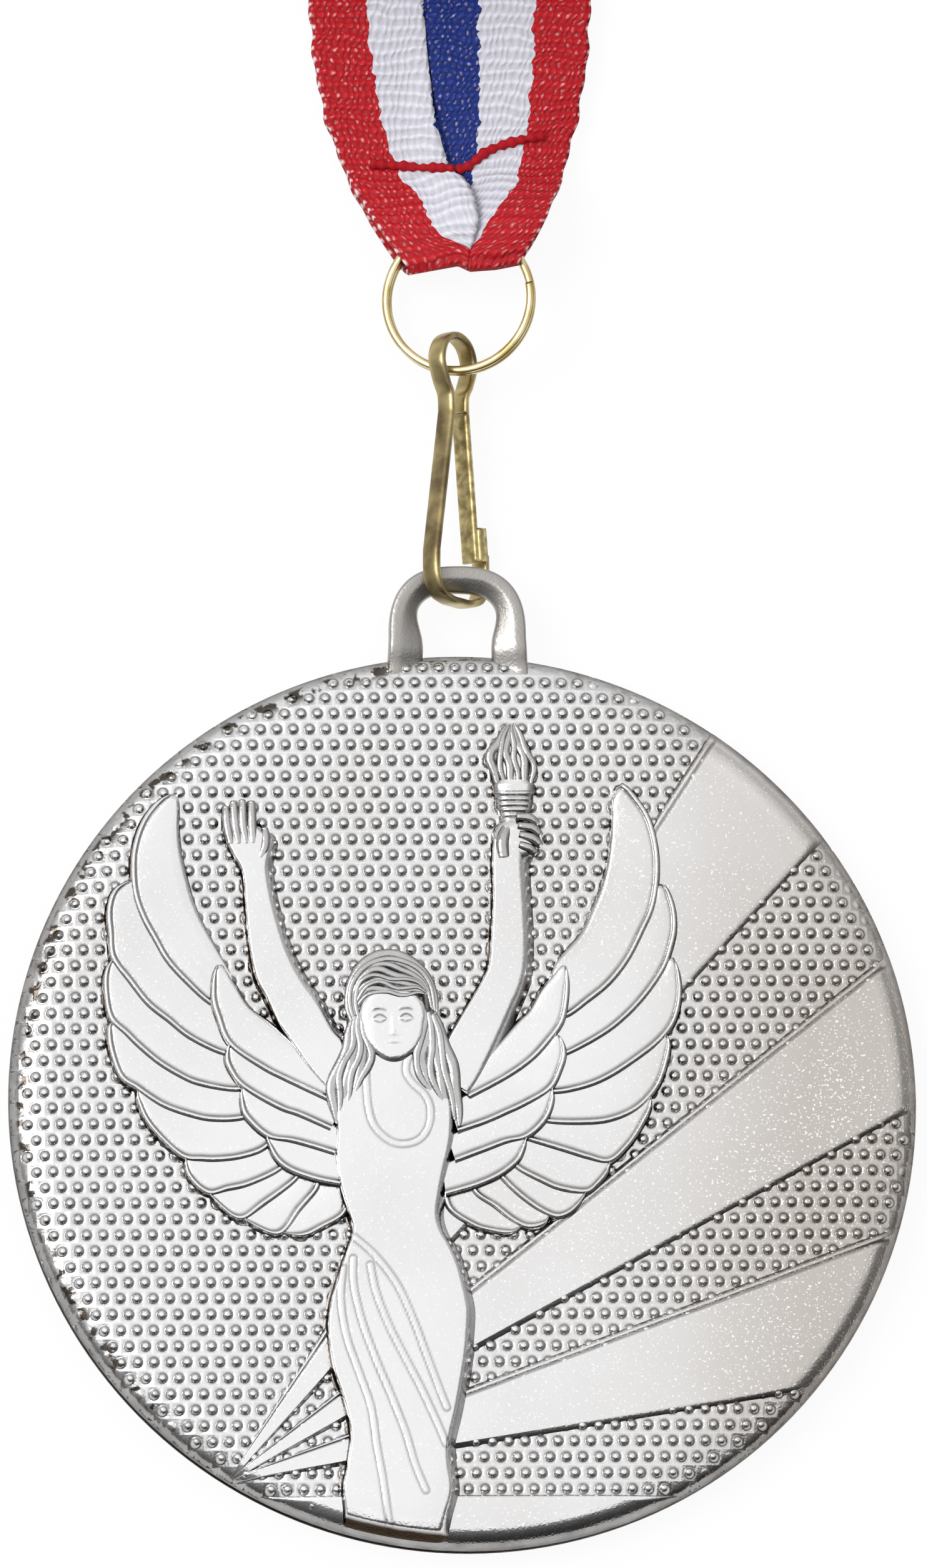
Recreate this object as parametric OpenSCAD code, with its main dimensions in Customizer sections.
/* [Disc] */
// Disc diameter, mm
disc_d = 70; // [40:1:90]
// Height of the pearled field above the back face, mm
field_z = 4; // [3.4:0.1:5]
// Height of the ray plates above the field, mm
ray_h = 0.35; // [0.2:0.05:0.6]
// Height of the lowest wing feather above the field, mm
wing_h = 0.5; // [0.3:0.05:0.8]
// Height of the gown above the field, mm
figure_h = 1.5; // [1:0.05:2]
// Height of the beads, folds and locks above the plates that carry them, mm
bead_h = 0.12; // [0.06:0.01:0.2]

/* [Bail] */
// Outer width of the bail, mm
bail_w = 10.6; // [9:0.1:13]
// Height of the bail above the disc, mm
bail_h = 6.8; // [6.4:0.1:8]
// Radial thickness of the bail, mm
bail_r = 2; // [1.6:0.1:2.1]
// Thickness of the bail through the face, mm
bail_t = 1.8; // [1.4:0.1:1.9]

/* [Hook] */
// Width of the brass strip, mm
strip_w = 1.5; // [1.2:0.1:1.6]
// Thickness of the brass strip, mm
strip_t = 0.6; // [0.4:0.05:0.65]
// Length of the hook over all, mm
hook_l = 21.7; // [20:0.1:26]
// Turn of the hook about its long axis, degrees
hook_turn = 50; // [45:1:52]

/* [Split ring] */
// Outer diameter of the ring, mm
ring_od = 12; // [11:0.1:13]
// Radial thickness of the ring wire, mm
wire_r = 0.65; // [0.5:0.05:0.8]
// Thickness of one coil along the ring axis, mm
wire_t = 0.55; // [0.4:0.05:0.6]
// Tilt of the ring about the long axis, degrees
ring_tilt = 14; // [8:1:16]

/* [Ribbon] */
// Width of the ribbon, mm
ribbon_w = 22; // [20:1:25]
// Thickness of the ribbon, mm
ribbon_t = 0.45; // [0.35:0.05:0.5]
// Half width of the gathered ribbon where it turns round the ring, mm
fold_hw = 4; // [3.6:0.1:4.1]
// Length of one folded run of the put-away ribbon, mm
run_l = 58; // [40:1:80]
// Height from layer to layer in the folded ribbon, mm
layer_p = 0.95; // [0.92:0.01:1.2]
// Width of the paper band, mm
band_w = 14; // [8:1:24]

/* [Hidden] */
disc_r = disc_d / 2;
sink = 1.2;
bail_z = 3.2;
bail_y = disc_r + bail_h - bail_r / 2;
// hook: low end of the bow, centre of the head loop, height of its axis
hook_y0 = bail_y - 2.05;
hook_z = bail_z;
head_r = 2.1;
head_y = hook_y0 + hook_l - head_r - strip_t / 2;
gate_y = head_y - 3.95;
gate_end = bail_y + 1.7;
gate_u = 0.9;
gate_gap = 0.12;
leg_u = 3.2;
// ring: mean radius, centre
ring_r = ring_od / 2 - wire_r / 2;
ring_y = head_y - 0.65 + ring_r;
ring_x = 0.55;
ring_z = hook_z;
coil_p = wire_t + 0.07;
// ribbon: turn under the ring, seam, start of the folds
turn_y = ring_y + 1.95;
seam_y = turn_y + 9.8;
hank_y = turn_y + 25;
ribbon_x = 0.35;
band_t = 0.3;
layer_z = band_t + 0.1 + ribbon_t / 2;
layers = 12;
ribbon_red = [0.72, 0.1, 0.14];
brass = [0.6, 0.5, 0.3];
silver = [0.82, 0.82, 0.8];

// point on a smooth curve through p1 and p2
function arc4(p0, p1, p2, p3, t) =
    0.5 * (2 * p1 + (p2 - p0) * t + (2 * p0 - 5 * p1 + 4 * p2 - p3) * t * t
        + (3 * p1 - p0 - 3 * p2 + p3) * t * t * t);

// smooth open curve through the points p, n steps from point to point
function curve(p, n) = concat([for (i = [0 : len(p) - 2], k = [0 : n - 1])
    arc4(p[max(i - 1, 0)], p[i], p[i + 1], p[min(i + 2, len(p) - 1)], k / n)],
    [p[len(p) - 1]]);

function smooth(t) = let (c = min(max(t, 0), 1)) c * c * (3 - 2 * c);
function unit(v) = v / norm(v);
function heading(p, i) = unit(p[min(i + 1, len(p) - 1)] - p[max(i - 1, 0)]);
function beside(p, i, d) = p[i] + d * [-heading(p, i)[1], heading(p, i)[0]];

// outline of a strip of thickness t along the centre line p
function strip_outline(p, t) = concat(
    [for (i = [0 : len(p) - 1]) beside(p, i, t / 2)],
    [for (i = [len(p) - 1 : -1 : 0]) beside(p, i, -t / 2)]);

// closed tube: rings of m points joined in order, ends capped
module tube(rings) {
    m = len(rings[0]);
    n = len(rings);
    polyhedron(points = [for (r = rings, q = r) q],
        faces = concat(
            [for (i = [0 : n - 2], k = [0 : m - 1])
                [i * m + k, i * m + (k + 1) % m, (i + 1) * m + (k + 1) % m]],
            [for (i = [0 : n - 2], k = [0 : m - 1])
                [i * m + k, (i + 1) * m + (k + 1) % m, (i + 1) * m + k]],
            [for (k = [0 : m / 2 - 2]) [m - 1 - k, m - 2 - k, k + 1, k]],
            [for (k = [0 : m / 2 - 2])
                (n - 1) * m * [1, 1, 1, 1] + [k, k + 1, m - 2 - k, m - 1 - k]]));
}

// The disc with its rounded front edge, raised by the height up
module disc_form(up) {
    rotate_extrude($fn = 120)
        polygon([[0, 0], [disc_r - 0.8, 0], [disc_r, 0.8], [disc_r, 2.1 + up],
                 [disc_r - 0.25, 3 + up], [disc_r - 0.8, field_z - 0.42 + up],
                 [disc_r - 1.7, field_z - 0.08 + up], [disc_r - 2.6, field_z + up],
                 [0, field_z + up]]);
}

// outline of a lock, fold or finger along the line p: width w in the middle, narrow ends
function swell(f) = 0.16 + 0.34 * pow(sin(180 * f), 0.6);
function lock_outline(p, w) = let (n = len(p) - 1) concat(
    [for (i = [0 : n]) beside(p, i, w * swell(i / n))],
    [for (i = [n : -1 : 0]) beside(p, i, -w * swell(i / n))]);

// line at the share f of the way from the line a to the line b
function between(a, b, f) = [for (i = [0 : len(a) - 1]) a[i] * (1 - f) + b[i] * f];

function reversed(p) = [for (i = [len(p) - 1 : -1 : 0]) p[i]];

// A raised plate of the relief
module plate(p, h) {
    translate([0, 0, field_z - sink])
        linear_extrude(sink + h)
            polygon(p);
}

// A raised line of the relief with narrow ends
module lock(p, w, h) {
    plate(lock_outline(curve(p, 2), w), h);
}

// One ray: a wedge between two angles, its point a little behind the fan point
fan = [-18.6, -29.8];
function ray_start(a, b) = fan - 1.2 * [cos((a + b) / 2), sin((a + b) / 2)];
module ray(a, b) {
    start = ray_start(a, b);
    plate([start, start + 75 * [cos(a), sin(a)], start + 75 * [cos(b), sin(b)]], 3);
}

// The bead along the upper side of a ray
module ray_bead(a, b) {
    along = [cos(b), sin(b)];
    across = [sin(b), -cos(b)];
    start = ray_start(a, b) + 5 * along;
    plate([start + 0.12 * across, start + 70 * along + 0.12 * across,
           start + 70 * along + 0.42 * across, start + 0.3 * across], 3);
}

// Each feather: its free edge from tip to root, then its covered side back to the tip
left_long = [
    [[[-21.8, 23.9], [-23.4, 23.1], [-24.7, 21.4], [-25.4, 19.2], [-25.5, 17.2], [-25.3, 15.5],
      [-24.7, 13.8], [-23.8, 12.1], [-22.9, 10.5], [-21.5, 8.9], [-19.5, 7.1], [-17.4, 6.5]],
      [[-18, 9.7], [-18.7, 11], [-20.4, 14.3], [-21.2, 16.9], [-21.8, 20.1]]],
    [[[-25.1, 17.1], [-26.8, 16.2], [-27.4, 14.6], [-27.3, 12.6], [-27.1, 10.7], [-25.8, 8.9],
      [-24.4, 7.1], [-22.8, 5.8], [-21.2, 4.5], [-18.8, 3.3], [-17.2, 3.1]], [[-18.4, 7.7],
      [-21.4, 10.4]]],
    [[[-26.7, 11.2], [-27.6, 9.8], [-27.7, 8.1], [-27.3, 6], [-26.1, 4.8], [-25.1, 3.8],
      [-23.7, 2.6], [-22.3, 1.7], [-20.6, 0.9], [-17.8, 0.4], [-16.2, 0.7]], [[-17.8, 4.1],
      [-22, 6]]],
    [[[-26.8, 6.1], [-27.4, 5.5], [-27.4, 3.9], [-26.6, 1.5], [-25.4, 0.6], [-24.3, -0.2],
      [-23.1, -0.9], [-21.4, -1.5], [-19.6, -1.9], [-17.2, -1.8], [-15.4, -0.9]], [[-16.8, 1.3],
      [-21.6, 2.4]]],
    [[[-25.3, 1], [-25.2, -0.5], [-24.3, -2.4], [-22, -4.7], [-20.3, -5], [-18.8, -5],
      [-17.3, -4.8], [-15.6, -4.2], [-14.3, -2.9]], [[-16.4, -0.7], [-21, -0.4]]],
    [[[-21.6, -4.2], [-21.5, -6.1], [-20, -7.6], [-18.4, -7.3], [-17, -7], [-15.5, -6.4],
      [-14.4, -5.8], [-13.3, -4.9]], [[-15.7, -3.3], [-18.8, -4.1]]],
    [[[-20.2, -7.1], [-18.9, -8.7], [-17.4, -9.6], [-15.7, -8.5], [-13.2, -6.6], [-12.7, -5.5]],
      [[-14.9, -5.3], [-17.7, -6.3]]],
    [[[-17.6, -9.2], [-15.9, -10.4], [-14.3, -10.7], [-12.9, -8.9], [-11.5, -7.2], [-11.3, -6]],
      [[-13.3, -5.9], [-15.9, -7.9]]],
    [[[-14.6, -10.5], [-12.7, -10.9], [-11.1, -10.2], [-9.3, -9], [-8.9, -6.8]], [[-11.3, -6.4],
      [-13.1, -8.5]]]];
left_short = [
    [[[-18.8, 10.6], [-19.3, 9.5], [-19.5, 7.7], [-19.1, 6], [-18.2, 3.9], [-15.7, 2.1],
      [-14, 1.2], [-10.5, -0.5]], [[-9.4, 1.1], [-12, 3], [-14.9, 5.6], [-16.6, 6.9],
      [-17.7, 8.7]]],
    [[[-18, 4.4], [-18.5, 3], [-18.2, 1.9], [-17.2, 0.6], [-14.5, -1], [-12.9, -1.6],
      [-10.5, -2.7]], [[-9.4, -0.5], [-14.4, 2.2]]],
    [[[-17.3, 0.9], [-17.3, -1], [-16.7, -2.1], [-15.3, -3.3], [-13.6, -3.6], [-12.1, -4],
      [-10.2, -4.6]], [[-9.3, -2.5], [-14.4, -0.4]]],
    [[[-15.5, -2.9], [-14.9, -4.7], [-13.8, -5.8], [-11.7, -6.6], [-9.7, -7]], [[-8.9, -4.3],
      [-13.4, -3.1]]]];
right_long = [
    [[[11.7, 23.8], [12.5, 24.4], [13.7, 23.1], [14.6, 21.5], [15.1, 19.2], [15.1, 16.9],
      [14.7, 14.7], [13.8, 12.7], [12.7, 10.6], [11.2, 8.7], [9.5, 7.3], [8, 6.2], [6.6, 5.8]],
      [[6.6, 8.5], [7.1, 10.4], [9, 12.6], [9.9, 14.4], [10.9, 16.9], [11.5, 20]]],
    [[[14.9, 16.8], [15.7, 16.3], [16.3, 14.8], [16.4, 13], [16, 11.3], [15.4, 9.8], [14, 7.8],
      [12.4, 6.1], [10.6, 4.7], [7.8, 3.2], [6.4, 3]], [[7.4, 6.9], [11.8, 9.9]]],
    [[[16.1, 11.2], [16.6, 9.5], [16.7, 7.8], [16.2, 5.8], [15, 4.2], [13.2, 2.8], [11.2, 1.5],
      [9.4, 0.7], [7.1, 0.2], [5.4, 0.4]], [[7, 3.8], [12.2, 6.5]]],
    [[[15.4, 5.2], [15.8, 3.8], [15.2, 1.5], [14.4, 0.1], [13, -1.2], [11, -2], [8.8, -2.2],
      [6.3, -2.1], [5.2, -1.6]], [[6.4, 1], [10.8, 1.9]]],
    [[[14.3, 0.4], [14.2, -1], [13.4, -2.6], [12.4, -4], [11, -5.2], [9.4, -4.9], [7.5, -4.3],
      [4.9, -3.5], [4, -3.2]], [[6, -1.3], [10.4, -1.4]]],
    [[[11.1, -4.8], [10.8, -6], [10, -7], [9.1, -7.6], [7.1, -7.3], [5.7, -6.7], [4, -5.8],
      [3.2, -5]], [[5.2, -2.8], [8.4, -3.9]]],
    [[[9.3, -7.2], [8.9, -8], [8.1, -9], [7, -9.5], [5.8, -9.1], [4.1, -7.9], [2.7, -6.5],
      [2, -5.4]], [[4.4, -5.2], [6.8, -6.6]]],
    [[[6.4, -9.1], [5.9, -10], [4.7, -10.3], [3.5, -9.8], [2, -8.6], [0.6, -7.6], [0.1, -6.3]],
      [[2.8, -5.8], [4.8, -7.6]]],
    [[[4.4, -9.9], [3.3, -10.7], [1.6, -10.5], [0.2, -10], [-1.5, -8.7], [-1.9, -6.7]],
      [[1, -7.1], [2.8, -8.4]]]];
right_short = [
    [[[7.8, 10.5], [8, 8.8], [7.9, 7.2], [7.5, 5.6], [6.5, 4.2], [5.1, 2.7], [3.1, 1.3],
      [0.3, -0.2]], [[-1.1, 1], [0.9, 2.2], [4, 5.6], [5, 6.6], [6, 8.3]]],
    [[[7.1, 5], [7.7, 3.4], [7.3, 1.8], [6.5, 0.4], [4.7, -0.7], [3, -1.5], [1.4, -2.2],
      [-0.7, -2.9]], [[-1.3, -0.6], [3.7, 2.3]]],
    [[[6.6, 1], [6.7, -0.5], [6.1, -2], [4.7, -3.3], [3.1, -3.7], [1.5, -4.3], [-0.9, -5.2]],
      [[-1.5, -3.2], [3.3, -0.7]]],
    [[[4.7, -2.9], [4.4, -4.2], [3.9, -5.2], [2.5, -6.3], [0.7, -7.1], [-1.7, -7.8]],
      [[-1.9, -5.4], [2.1, -3.5]]]];

// A feather with a bead just inside its free edge; side is 1 where the vane lies left of the edge
module feather(edge, cover, side, h) {
    free = curve(edge, 2);
    bead = [for (i = [2 : len(free) - 3]) free[i]];
    n = len(bead) - 1;
    plate(concat(free, cover), h);
    plate(concat([for (i = [0 : n]) beside(bead, i, 0.1 * side)],
                 [for (i = [n : -1 : 0]) beside(bead, i, 0.42 * side)]), h + bead_h);
}

// A row of feathers, each lower one lying under the one above it
module feathers(list, side, h, step) {
    n = len(list) - 1;
    for (i = [0 : n])
        feather(list[i][0], list[i][1], side, h + step * (n - i));
}

// Figure: gown with neck and hem, its folds and neck line
gown_left = [[-7, 5], [-7, 3.7], [-7.5, 3.1], [-8.5, 2.5], [-9.7, 0.7], [-10, -0.9],
    [-10, -3.2], [-10.1, -4.4], [-10, -5.9], [-9.7, -7.5], [-9.3, -8.9], [-8.9, -10.5],
    [-9.3, -11.9], [-10, -13.9], [-10.6, -15.9], [-10.9, -17.9], [-10.8, -19.5], [-10.5, -21.4],
    [-9.9, -23.3], [-9.4, -25.3], [-9.3, -26.8], [-9.6, -28.8], [-9.9, -30.8], [-9.8, -33.1],
    [-9.6, -36]];
gown_right = [[-4, 5], [-4, 3.7], [-3.3, 3.1], [-2.1, 2.6], [-1.1, 0.9], [-0.6, -0.7],
    [-0.6, -2.7], [-0.8, -4.2], [-1.2, -5.8], [-1.6, -7.8], [-1.8, -9.3], [-1.5, -10.6],
    [-0.8, -11.9], [-0.2, -13.4], [0.2, -15], [0.5, -16.7], [0.4, -18.7], [0.2, -20.5],
    [-0.2, -22.7], [-0.6, -24.7], [-1.2, -27.2], [-1.2, -28.7], [-1, -30.7], [-1.5, -32.7],
    [-2.2, -36]];
gown_folds = [
    [[-9.1, -10.9], [-7.3, -12.5], [-5.6, -14.8], [-4.4, -17.5], [-3.4, -20.3],
     [-2.5, -22.8], [-1.9, -24.4]],
    [[-7.6, -13.3], [-7.2, -15.4], [-6.3, -17.9], [-5.1, -20.4], [-3.8, -23],
     [-2.6, -25.7], [-2, -27.2]],
    [[-8.9, -12.8], [-8.9, -14.9], [-8.3, -17.7], [-7.3, -20.6], [-6.1, -23.6],
     [-5.1, -26.3], [-4.4, -28.8], [-3.6, -30.8]],
    [[-9.7, -13.5], [-9.9, -16], [-9.5, -18.9], [-8.5, -21.9], [-7.7, -24.4],
     [-7.3, -27.4], [-6.9, -29.8], [-6.5, -32.8], [-6.1, -34.5]]];
neckline = [[-7.7, 0.6], [-7.6, -0.9], [-7.2, -2.4], [-6.2, -3.5], [-5.1, -3.9], [-3.8, -3.6],
    [-3, -2.6], [-2.8, -1.2], [-3.2, -0.2], [-4.1, 0.6]];
// Arms from the shoulder to the wrist, outer and inner side
left_arm_out = [[-10.2, -0.1], [-12, 2], [-13.6, 4.4], [-14.4, 5.6], [-15.3, 7.6], [-16.1, 9.3],
    [-16.6, 12.2], [-16.8, 15], [-17, 17.5], [-17.7, 18.9], [-18.2, 20.1], [-18.3, 21]];
left_arm_in = [[-8.4, 2.3], [-9.5, 4.3], [-10.2, 5.1], [-11.3, 7.2], [-12.4, 8.8],
    [-13.3, 10.5], [-14, 12.4], [-14.7, 15.1], [-15.1, 17.7], [-14.9, 19], [-14.8, 20],
    [-15.9, 21.1]];
right_arm_in = [[-2.5, 1.8], [-1.6, 4], [-0.5, 5.9], [0.5, 7.5], [1.4, 9.1], [1.9, 10.3],
    [2.1, 12.4], [2.3, 15.4], [2.3, 18.3], [2.4, 20]];
right_arm_out = [[0.1, 0.2], [0.9, 1.4], [2.5, 4.7], [3.4, 6.7], [4.2, 8.5], [4.6, 10.1],
    [4.7, 12.5], [4.6, 15.5], [4.5, 18.1], [4.6, 20]];
// Fingers of the open hand, thumb last; of the fist, thumb first
fingers = [
    [[-17.8, 19.7], [-18.1, 21.1], [-18.2, 22.7]],
    [[-17.2, 19.7], [-17.5, 21.3], [-17.6, 23.1]],
    [[-16.6, 19.7], [-16.9, 21.3], [-16.9, 23.2]],
    [[-16.1, 19.7], [-16.2, 21.3], [-16.2, 23.1]],
    [[-15.7, 18.4], [-15.2, 19.6], [-15.2, 21]]];
fist = [
    [[3.2, 18.6], [3.1, 19.8], [3.5, 21]],
    [[4.2, 21.8], [5.2, 21.7], [5.9, 21.2]],
    [[4.3, 21.1], [5.4, 20.9], [6.1, 20.3]],
    [[4.4, 20.4], [5.4, 20.1], [6.1, 19.5]],
    [[4.4, 19.6], [5.2, 19.3], [5.7, 18.8]]];
// Hair: outline, and the first and last lock over the crown and down either side
hair = [[-5.6, 11.2], [-7.6, 10.5], [-8.9, 8.6], [-8.7, 5.4], [-9.7, 3], [-10.2, 0.4],
        [-9.8, -2.6], [-8.6, -0.6], [-7.4, 1.6], [-4.4, 1.7], [-3, 0.1], [-0.7, -2.5],
        [-0.8, 1.1], [-1.7, 4.1], [-2, 7.5], [-2.8, 9.7], [-4, 10.9]];
crown_locks = [
    [[-8.9, 7.3], [-8.5, 9.1], [-7.3, 10.6], [-5.6, 11.1], [-3.8, 10.6], [-2.4, 9.3],
    [-2, 7.7]],
    [[-8.1, 6.9], [-7.8, 7.7], [-7.1, 8.2], [-6.1, 8.2], [-4.9, 8.3], [-3.8, 8],
    [-2.9, 7.2]]];
left_locks = [
    [[-8.9, 8], [-9, 6.6], [-8.6, 5.2], [-9.2, 3.7], [-9.9, 2.2], [-10.3, 0.6],
    [-10.1, -1.4], [-9.9, -2.9]],
    [[-7.9, 7.5], [-8, 6], [-7.8, 4.6], [-7.5, 3.5], [-7.6, 2.4], [-8, 1.4], [-8.4, 0.5],
    [-9, -0.5]]];
right_locks = [
    [[-2.1, 8.3], [-1.8, 6.7], [-2, 5.1], [-1.3, 3.3], [-0.9, 1.5], [-0.8, -0.3],
    [-0.7, -1.7], [-0.6, -2.7]],
    [[-3.1, 7.6], [-3.1, 6.1], [-3.2, 4.7], [-3.7, 3.4], [-3.9, 2.4], [-3.6, 1.5],
    [-3.1, 0.5], [-2.5, -0.5]]];
// Flame: outermost tongues left and right
flame_left = [[2.9, 24.3], [2.5, 25.7], [2.4, 26.8], [2.9, 27.8], [3.7, 29.2]];
flame_right = [[5.4, 24.4], [5.6, 25.7], [5.3, 26.8], [4.8, 27.8], [4.2, 29.3]];

// Locks spread evenly between the first and the last line of a pair
module locks(pair, count, w, h) {
    for (i = [0 : count - 1])
        lock(between(pair[0], pair[1], i / (count - 1)), w, h + 0.03 * i);
}

// Gown: follows the face over its rounded edge, with folds and neck line
module gown() {
    intersection() {
        disc_form(figure_h);
        plate(concat(gown_left, reversed(gown_right)), figure_h + 1);
    }
    intersection() {
        disc_form(figure_h + bead_h);
        union() {
            for (f = gown_folds)
                lock(f, 0.42, figure_h + 1);
            lock(neckline, 0.4, figure_h + 1);
        }
    }
}

// Egg-shaped face outline, in by the distance d
face_at = [-5.5, 5.5];
function face(d) = [for (a = [0 : 12 : 348])
    face_at + [(2.5 - d) * cos(a) * (1 - 0.13 * pow(max(-sin(a), 0), 2)), (3 - d) * sin(a)]];

// Head: hair with its locks, and the face rising in two steps
module head() {
    plate(hair, figure_h + 0.25);
    locks(crown_locks, 4, 0.72, figure_h + 0.32);
    locks(left_locks, 3, 0.5, figure_h + 0.33);
    locks(right_locks, 3, 0.5, figure_h + 0.34);
    plate(face(0), figure_h + 0.42);
    plate(face(0.35), figure_h + 0.55);
}

// Arms, the left with an open hand, the right with a fist round the torch
module arms() {
    plate(concat(left_arm_out, reversed(left_arm_in)), figure_h - 0.4);
    for (i = [0 : 4])
        lock(fingers[i], 0.78, figure_h - 0.5 + 0.03 * i);
    plate(concat(right_arm_in, reversed(right_arm_out)), figure_h - 0.38);
    translate([4.2, 20.1, field_z - sink])
        cylinder(r = 1.7, h = sink + figure_h - 0.22, $fn = 32);
    for (i = [0 : 4])
        lock(fist[i], 0.8, figure_h - 0.1 + 0.03 * i);
}

// Torch: handle, cup with two hoops and a rim, flame of four tongues
module torch() {
    cup = [4.1, 24.8];
    plate([for (q = [[-1.5, 0], [-1.75, -0.3], [-1.7, -0.9], [-1.45, -1.2], [-1.3, -2.2],
                     [-1.1, -3.6], [1.1, -3.6], [1.3, -2.2], [1.45, -1.2], [1.7, -0.9],
                     [1.75, -0.3], [1.5, 0]]) cup + q], figure_h - 0.45);
    for (y = [-0.75, -1.45, -1.95])
        plate([for (q = [[-1.55, 0.13], [-1.55, -0.13], [1.55, -0.13], [1.55, 0.13]])
            cup + [0, y] + q], figure_h - 0.3);
    plate(concat(flame_left, reversed(flame_right)), figure_h - 0.9);
    for (i = [0 : 3])
        lock(between(flame_left, flame_right, 0.1 + 0.8 * i / 3), 0.6, figure_h - 0.7 + 0.03 * i);
}

// Bail: bar with a level front and a bevel towards the eye, bent to a squarish arch; its legs
// thicken inwards and stand in the disc edge
bail_section = [[1, 0.3], [0.9, 0.85], [0.6, 1], [-0.5, 1], [-0.85, 0.85], [-1, 0.4], [-1, -0.1],
                [-0.75, -0.55], [-0.3, -0.95], [0.1, -1], [0.75, -1], [1, -0.7]];
module bail() {
    hw = bail_w / 2 - bail_r / 2;
    base = disc_r - 2.2;
    rise = bail_y - disc_r - 1.2;
    path = concat([[-hw - 0.25, base], [-hw - 0.1, base + 1.6]],
        [for (a = [180 : -7.5 : 0])
            [hw * sign(cos(a)) * pow(abs(cos(a)), 0.72),
             disc_r + 1.2 + rise * pow(sin(a), 0.72)]],
        [[hw + 0.1, base + 1.6], [hw + 0.25, base]]);
    tube([for (i = [0 : len(path) - 1])
        let (h = heading(path, i), thick = 1 + 0.45 * smooth((bail_y - 2 - path[i][1]) / 4),
             foot = 0.5 * smooth((disc_r + 0.6 - path[i][1]) / 2))
        [for (q = bail_section)
            let (c = bail_r / 2 * q[0] * (q[0] < 0 ? thick : 1))
            [path[i][0] - h[1] * c, path[i][1] + h[0] * c, bail_z - foot - bail_t / 2 * q[1]]]]);
}

// The medal: one casting of disc, bail, rays and relief
module medal() {
    rays = [[9.2, 20.5], [28.8, 38.35], [47.3, 56.7]];
    color(silver) {
        disc_form(0);
        intersection() {
            disc_form(ray_h);
            union() {
                for (r = rays)
                    ray(r[0], r[1]);
                translate([-30, -46, field_z - sink])
                    cube([70, 15, 3]);
            }
        }
        intersection() {
            disc_form(ray_h + bead_h);
            union() {
                for (r = rays)
                    ray_bead(r[0], r[1]);
            }
        }
        feathers(left_long, 1, wing_h, 0.05);
        feathers(right_long, -1, wing_h + 0.01, 0.05);
        feathers(left_short, 1, wing_h + 0.52, 0.06);
        feathers(right_short, -1, wing_h + 0.53, 0.06);
        gown();
        arms();
        head();
        torch();
        bail();
    }
}

// place a form drawn in the bend plane of the hook
module hook_place() {
    translate([0, 0, hook_z])
        rotate([0, hook_turn, 0])
            children();
}

// Hook: gate root, head loop, front leg and the bow under the bail
module hook_body() {
    top = curve([[gate_u, gate_y], [gate_u + 0.08, gate_y + 1.3], [1.55, head_y - 1.65],
        [head_r, head_y], [head_r * 0.71, head_y + head_r * 0.71], [0, head_y + head_r],
        [-head_r * 0.71, head_y + head_r * 0.71], [-head_r, head_y], [-1.55, head_y - 1.65],
        [-gate_u - 0.08, gate_y + 1.3], [-gate_u, gate_y]], 4);
    bow = curve([[-leg_u, bail_y + 1.9], [-leg_u, bail_y + 0.2],
        [-leg_u + 0.55, bail_y - 1.2], [-1.3, hook_y0 + strip_t / 2 + 0.05],
        [0, hook_y0 + strip_t / 2], [1.3, hook_y0 + strip_t / 2 + 0.05],
        [leg_u - 0.55, bail_y - 1.2], [leg_u, bail_y + 0.2],
        [leg_u + 0.05, bail_y + 2.4]], 4);
    color(brass)
        hook_place()
            linear_extrude(strip_w, center = true)
                polygon(strip_outline(concat(top, bow), strip_t));
}

// Gate: the springy back leg with the folded side catch at its end
module hook_gate() {
    foot = [2.02, gate_end];
    root = [gate_u, gate_y - gate_gap];
    along = unit(foot - root);
    across = [-along[1], along[0]];
    catch = foot - 2.6 * along;
    color(brass)
        hook_place() {
            linear_extrude(strip_w, center = true)
                polygon(strip_outline([root, foot], strip_t));
            translate([0, 0, strip_w / 2 - 0.2])
                linear_extrude(0.6)
                    polygon([foot - 0.2 * across, foot + 0.2 * across,
                             catch + 0.2 * across, catch - 0.2 * across]);
            translate([0, 0, strip_w / 2 + 0.1])
                linear_extrude(0.3)
                    polygon([foot - 0.2 * across, foot + 0.75 * across,
                             catch + 0.75 * across, catch - 0.2 * across]);
        }
}

// Split ring: one wire of two turns, its ends lying over the first turn
module split_ring() {
    n = 76;
    turn = [for (i = [0 : n]) 30 + i * 700 / n];
    color(brass)
        translate([ring_x, ring_y, ring_z])
            rotate([0, -ring_tilt, 0])
                tube([for (a = turn)
                    [for (k = [0 : 7])
                        let (c = cos(k * 45 + 22.5) / cos(22.5), s = sin(k * 45 + 22.5) / cos(22.5),
                             r = ring_r + wire_r / 2 * c,
                             z = wire_t / 2 * s + coil_p * (smooth((a - 340) / 80) - 0.5))
                        [r * cos(a), r * sin(a), z]]]);
}

// side line of the gathered ribbon: run along Y and height, front leg first
loop_line = curve([[hank_y, layer_z + layer_p], [seam_y + 8, layer_z + 0.8],
    [seam_y, layer_z + 0.72], [seam_y - 3, 2.5], [turn_y + 4, 4.1], [turn_y + 2, 4.46],
    [turn_y + 0.75, 4.35], [turn_y + 0.22, 3.3], [turn_y + 0.7, 2.2], [turn_y + 2, 1.95],
    [turn_y + 4, 1.85], [seam_y - 2.9, 1.1], [seam_y, layer_z], [seam_y + 8, layer_z],
    [hank_y, layer_z]], 3);
front_n = 22;
front_leg = [for (i = [0 : front_n]) loop_line[i]];
// half width of the gathered ribbon at a distance y above the turn
function gather(y) = let (q = min(max(y / 25, 0), 1))
    fold_hw + (ribbon_w / 2 - fold_hw) * (1 - pow(1 - q, 2.4));
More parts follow.
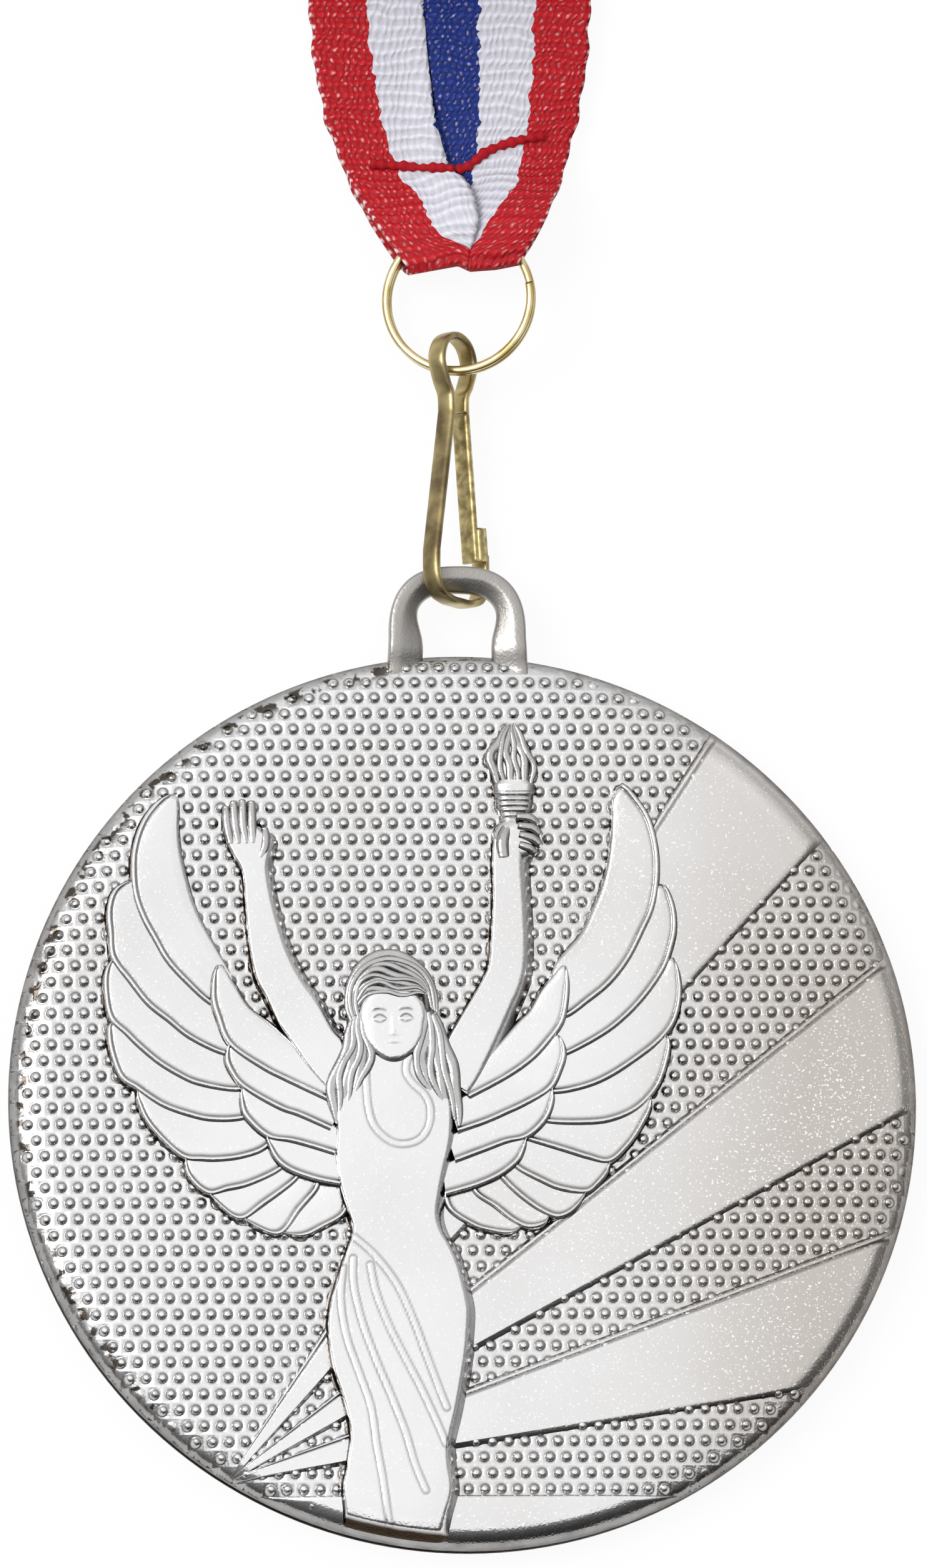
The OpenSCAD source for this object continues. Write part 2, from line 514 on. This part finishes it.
// share of the ring's tilt that the ribbon takes up
function lean(y) = 1 - smooth((y - turn_y - 3) / (seam_y - turn_y - 3));
// sideways place of the ribbon's middle and of its crease
function sway(y) = ribbon_x + 0.55 * (1 - smooth((y - turn_y) / 14));
function crease(y) = let (w = gather(y - turn_y)) min(0.4 * ribbon_w - w, 0.9);
// how far the crease opens, and the height that it lifts the front leg at x
function lift(y) = smooth((y - turn_y - 2) / 4) * (1 - smooth((y - turn_y - 16) / 8));
function puff(f, left) = left ? 0.5 * smooth(f) : 0.15 * 4 * f * (1 - f);

// Gathered ribbon: both legs, sewn together above the turn round the ring, the
// front leg creased where its left part lies over the right
module ribbon_loop() {
    nu = 4;
    color(ribbon_red)
        tube([for (i = [0 : len(loop_line) - 1])
            let (p = loop_line[i], h = heading(loop_line, i), w = gather(p[0] - turn_y),
                 c = crease(p[0]), up = i > front_n ? 0 : lift(p[0]),
                 tilt = tan(ring_tilt) * lean(p[0]),
                 row = concat(
                     [for (k = [0 : nu]) [-w + (w + c - 0.12) * k / nu, puff(k / nu, true)]],
                     [for (k = [0 : nu]) [c + 0.12 + (w - c - 0.12) * k / nu,
                                          puff(k / nu, false)]]),
                 last = len(row) - 1)
            [for (side = [1, -1], k = [0 : last])
                let (q = row[side > 0 ? k : last - k])
                [sway(p[0]) + q[0], p[0] + side * h[1] * ribbon_t / 2,
                 p[1] - side * h[0] * ribbon_t / 2 + q[0] * tilt + up * q[1]]]]);
}

// Seam: the thread bar that holds the two legs together, lying on the front leg
module seam_thread() {
    r = 0.28;
    line = curve([[-6.6, -0.6], [-3.9, -0.8], [-1.9, -1.1], [0.6, -1.05], [2.5, 0.3],
        [4.6, 1.1], [7.2, 1.7]], 3);
    color(ribbon_red)
        tube([for (i = [0 : len(line) - 1])
            let (h = heading(line, i), x = line[i][0], y = seam_y + line[i][1],
                 w = gather(y - turn_y), c = crease(y),
                 up = x < c ? puff((x + w) / (w + c), true)
                     : max(puff((x - c) / (w - c), false), 0.5 * (1 - smooth((x - c - 0.2) / 0.8))),
                 z = lookup(y, front_leg) + x * tan(ring_tilt) * lean(y) + lift(y) * up
                     + ribbon_t / 2 + r + 0.16)
            [for (k = [0 : 7])
                [sway(y) + x - h[1] * r * 1.2 * cos(k * 45), y + h[0] * r * 1.2 * cos(k * 45),
                 z - r * sin(k * 45)]]]);
}

// fold from layer a to layer b at the end y, bulging to the side s
function fold(y, a, b, s) = [for (k = [0 : 6])
    let (za = layer_z + a * layer_p, zb = layer_z + b * layer_p, m = (za + zb) / 2,
         r = abs(zb - za) / 2, t = k * 30)
    [y + s * r * sin(t), m + (za - m) * cos(t)]];
far_y = hank_y + 4 + run_l;
near_y = hank_y + 4;
// centre line of the put-away ribbon: one leg in, joined, the other leg back out
hank_line = concat([[hank_y + 0.1, layer_z + layer_p]],
    fold(far_y, 1, 2, 1), fold(near_y, 2, 5, -1), fold(far_y, 5, 6, 1),
    fold(near_y, 6, 9, -1), fold(far_y, 9, 10, 1), fold(near_y, 10, 11, -1),
    fold(far_y, 11, 8, 1), fold(near_y, 8, 7, -1), fold(far_y, 7, 4, 1),
    fold(near_y, 4, 3, -1), fold(far_y, 3, 0, 1), [[hank_y + 0.1, layer_z]]);

// points every few millimetres along the folded ribbon, with their run from the start
function spread(p) = [for (i = [0 : len(p) - 2])
    let (n = ceil(norm(p[i + 1] - p[i]) / 3))
    for (k = [0 : n - 1]) p[i] + (p[i + 1] - p[i]) * k / n];
function total(p, i = 0, s = 0) =
    i >= len(p) - 1 ? s : total(p, i + 1, s + norm(p[i + 1] - p[i]));
// shortest distance from the point c to the stretch from a to b
function reach(c, a, b) =
    let (t = min(max((c - a) * (b - a) / ((b - a) * (b - a)), 0), 1)) norm(c - a - t * (b - a));
hank_dots = spread(hank_line);
hank_gap = min([for (i = [0 : 2 : len(hank_dots) - 1], j = [0 : len(hank_dots) - 2])
    if (abs(i - j) > 6) reach(hank_dots[i], hank_dots[j], hank_dots[j + 1])]) - ribbon_t;
union() {  // ribbon_hank
    echo(least_gap_of_folded_ribbon_mm = hank_gap);
    echo(ribbon_cut_length_mm = total(hank_line) + total(loop_line));
}

// Put-away length of the ribbon, both legs folded to and fro
module ribbon_hank() {
    color(ribbon_red)
        translate([ribbon_x - ribbon_w / 2, 0, 0])
            rotate([90, 0, 90])
                linear_extrude(ribbon_w)
                    polygon(strip_outline(hank_line, ribbon_t));
}

// Paper band round the folded ribbon
module hank_band() {
    z1 = layer_z + (layers - 1) * layer_p + ribbon_t / 2 + 0.1;
    hw = ribbon_w / 2 + 0.2;
    color([0.93, 0.92, 0.88])
        translate([ribbon_x, (near_y + far_y + band_w) / 2, 0])
            rotate([90, 0, 0])
                linear_extrude(band_w)
                    difference() {
                        translate([-hw - band_t, 0])
                            square([2 * hw + 2 * band_t, z1 + band_t]);
                        translate([-hw, band_t])
                            square([2 * hw, z1 - band_t]);
                    }
}

medal();
hook_body();
hook_gate();
split_ring();
ribbon_loop();
seam_thread();
ribbon_hank();
hank_band();
